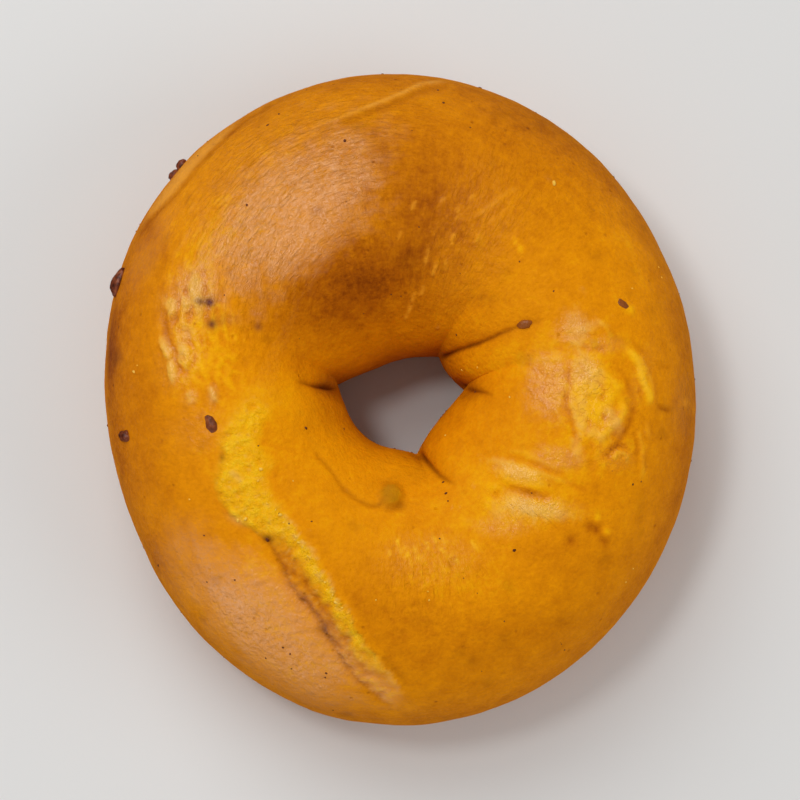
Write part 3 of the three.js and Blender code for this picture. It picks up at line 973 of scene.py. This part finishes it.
# over the browning tone and random mottle: painted shade in the pits, the cracks and the grooves of the streaks, paler
# on the ridges between them
tone = math(nt, "ADD", attribute(nt, "browning_and_shading"), added(nt, (mottle, 0.28), (fine, 0.30), (holes, 0.20), (streaky, -0.40), (leathery, -0.42), (crazed, 0.12)), clamp=True)
colour = ramp(nt, tone, [(0.0, (0.99, 0.48, 0.002, 1)), (0.35, (0.80, 0.274, 0.001, 1)), (0.6, (0.60, 0.180, 0.001, 1)),
                         (0.8, (0.40, 0.098, 0.001, 1)), (1.0, (0.17, 0.028, 0.001, 1))])
# painted sheen: the pale tan highlight mixed into the colour, broken up by the grain
sheen_paint = math(nt, "ADD", math(nt, "MULTIPLY", painted_sheen_at, 0.78), math(nt, "MULTIPLY", painted_sheen_at, added(nt, (leathery, 2.0), (fine, 2.1), (mottle, 1.1), (holes, -1.0), (crazed, -0.25))), clamp=True)
colour = mix(nt, sheen_paint, colour, (0.84, 0.375, 0.13, 1))
crumb_tone = ramp(nt, math(nt, "ADD", 0.5, added(nt, (mottle, 1.6), (fine, 1.0)), clamp=True),
                  [(0.0, (0.84, 0.35, 0.001, 1)), (0.45, (0.97, 0.47, 0.001, 1)), (1.0, (1.0, 0.60, 0.01, 1))])
colour = mix(nt, crumb_at, colour, crumb_tone)
# pale flakes and painted highlights and glints
colour = mix(nt, math(nt, "MULTIPLY", pale_and_glint_at, 0.8, clamp=True), colour, (0.88, 0.47, 0.10, 1))
colour = mix(nt, attribute(nt, "olive"), colour, (0.44, 0.170, 0.003, 1))
colour = mix(nt, attribute(nt, "stain"), colour, (0.11, 0.019, 0.022, 1))
# painted shade in folds, crevices and cracks, and dark freckles
colour = mix(nt, attribute(nt, "dark_and_shade"), colour, (0.13, 0.024, 0.001, 1))
nt.links.new(colour, shader.inputs["Base Color"])
rough = math(nt, "ADD", 0.55, added(nt, (gloss_at, -0.10), (mottle, 0.30)), clamp=True)
nt.links.new(rough, shader.inputs["Roughness"])
shader.inputs["Specular IOR Level"].default_value = 0.04
nt.links.new(math(nt, "MULTIPLY", gloss_at, math(nt, "ADD", 1.0, added(nt, (mottle, 1.2), (fine, 1.0))), clamp=True), shader.inputs["Coat Weight"])
shader.inputs["Coat Roughness"].default_value = 0.26
shader.inputs["Coat IOR"].default_value = 1.50
skin = math(nt, "ADD", 0.30, math(nt, "MULTIPLY", gloss_at, 0.55))
height = added(nt, (fine, 0.00022), (math(nt, "MULTIPLY", speckle(nt, place, 700.0, 2.0), skin), 0.00070),
               (leathery, 0.00068), (streaky, 0.00046), (holes, -0.00020), (crazed, -0.00008),
               (math(nt, "MULTIPLY", speckle(nt, place, 1300.0, 3.0, 0.7), crumb_at), 0.00055))
bumped(nt, shader, height)
bagel.data.materials.append(mat)

mat, nt, shader = material("dried_fruit")
place = node(nt, "ShaderNodeTexCoord").outputs["Object"]
colour = ramp(nt, speckle(nt, place, 900.0, 4.0, 0.6), [(0.34, (0.07, 0.012, 0.004, 1)), (0.52, (0.20, 0.042, 0.012, 1)), (0.72, (0.36, 0.11, 0.035, 1))])
nt.links.new(mix(nt, attribute(nt, "glazed"), colour, (0.34, 0.095, 0.006, 1)), shader.inputs["Base Color"])
nt.links.new(math(nt, "ADD", 0.26, math(nt, "MULTIPLY", speckle(nt, place, 700.0), 0.25)), shader.inputs["Roughness"])
shader.inputs["Specular IOR Level"].default_value = 0.4
bumped(nt, shader, math(nt, "MULTIPLY", speckle(nt, place, 1100.0, 3.0), 0.00025))
fruit.data.materials.append(mat)

mat, nt, shader = material("burnt_speck")
place = node(nt, "ShaderNodeTexCoord").outputs["Object"]
nt.links.new(ramp(nt, speckle(nt, place, 600.0), [(0.3, (0.085, 0.020, 0.005, 1)), (0.7, (0.21, 0.048, 0.009, 1))]), shader.inputs["Base Color"])
nt.links.new(math(nt, "ADD", 0.45, math(nt, "MULTIPLY", speckle(nt, place, 900.0), 0.3)), shader.inputs["Roughness"])
shader.inputs["Specular IOR Level"].default_value = 0.3
bumped(nt, shader, math(nt, "MULTIPLY", speckle(nt, place, 2500.0), 0.00006))
specks.data.materials.append(mat)

mat, nt, shader = material("dry_crumb")
place = node(nt, "ShaderNodeTexCoord").outputs["Object"]
nt.links.new(ramp(nt, speckle(nt, place, 700.0), [(0.3, (0.90, 0.46, 0.01, 1)), (0.7, (0.97, 0.62, 0.10, 1))]), shader.inputs["Base Color"])
nt.links.new(math(nt, "ADD", 0.40, math(nt, "MULTIPLY", speckle(nt, place, 900.0), 0.3)), shader.inputs["Roughness"])
shader.inputs["Specular IOR Level"].default_value = 0.4
bumped(nt, shader, math(nt, "MULTIPLY", speckle(nt, place, 2200.0), 0.00010))
crumbs.data.materials.append(mat)

# ---- the floor, the light and the view ------------------------------------------------
bpy.ops.mesh.primitive_plane_add(size=3.0, location=(0, 0, 0))
floor = bpy.context.object
floor.name = "floor"
fm, fnt, fsh = material("pale_floor")
fplace = node(fnt, "ShaderNodeTexCoord").outputs["Object"]
fnt.links.new(ramp(fnt, speckle(fnt, fplace, 6.0), [(0.0, (0.74, 0.74, 0.73, 1)), (1.0, (0.78, 0.78, 0.77, 1))]), fsh.inputs["Base Color"])
fsh.inputs["Roughness"].default_value = 0.8
floor.data.materials.append(fm)


def area_light(name, at, size, watts, colour=(1, 1, 1), aim=(0, 0, 0.02)):
    lamp = bpy.data.lights.new(name, "AREA")
    lamp.shape = "DISK"
    lamp.size = size
    lamp.energy = watts
    lamp.color = colour
    ob = bpy.data.objects.new(name, lamp)
    ob.location = at
    ob.rotation_euler = (Vector(aim) - Vector(at)).to_track_quat("-Z", "Y").to_euler()
    ob.visible_camera = False
    bpy.context.scene.collection.objects.link(ob)
    return ob


area_light("key_light", (-0.31, 0.54, 0.70), 0.75, 3.85)
area_light("top_light", (-0.30, 0.12, 0.95), 0.20, 1.6)
area_light("low_light", (-0.75, -0.80, 0.22), 0.6, 1.8)
area_light("fill_light", (0.80, -0.25, 0.45), 0.8, 2.5).visible_glossy = False

world = bpy.data.worlds.new("soft_room")
world.use_nodes = True
world.node_tree.nodes["Background"].inputs[0].default_value = (1, 1, 1, 1)
world.node_tree.nodes["Background"].inputs[1].default_value = 0.37
world.cycles_visibility.glossy = False
floor.visible_glossy = False
bpy.context.scene.world = world
bpy.context.scene.view_settings.view_transform = "Standard"

cam = bpy.data.cameras.new("view")
cam.sensor_width = 36.0
cam.lens = 36.0 * (DISTANCE / SCALE) / FRAME
cam.clip_start = 0.05
cam.clip_end = 20.0
camera = bpy.data.objects.new("view", cam)
axes = np.stack([RIGHT, UP, BACK], 1)
m = np.eye(4)
m[:3, :3] = axes
m[:3, 3] = to_frame(EYE)
camera.matrix_world = Matrix(m.tolist())
bpy.context.scene.collection.objects.link(camera)
bpy.context.scene.camera = camera

# ---- what rides on what -----------------------------------------------------------------
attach(bagel, "root")
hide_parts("bagel")
for piece in (fruit, specks, crumbs):
    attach(piece, "root")
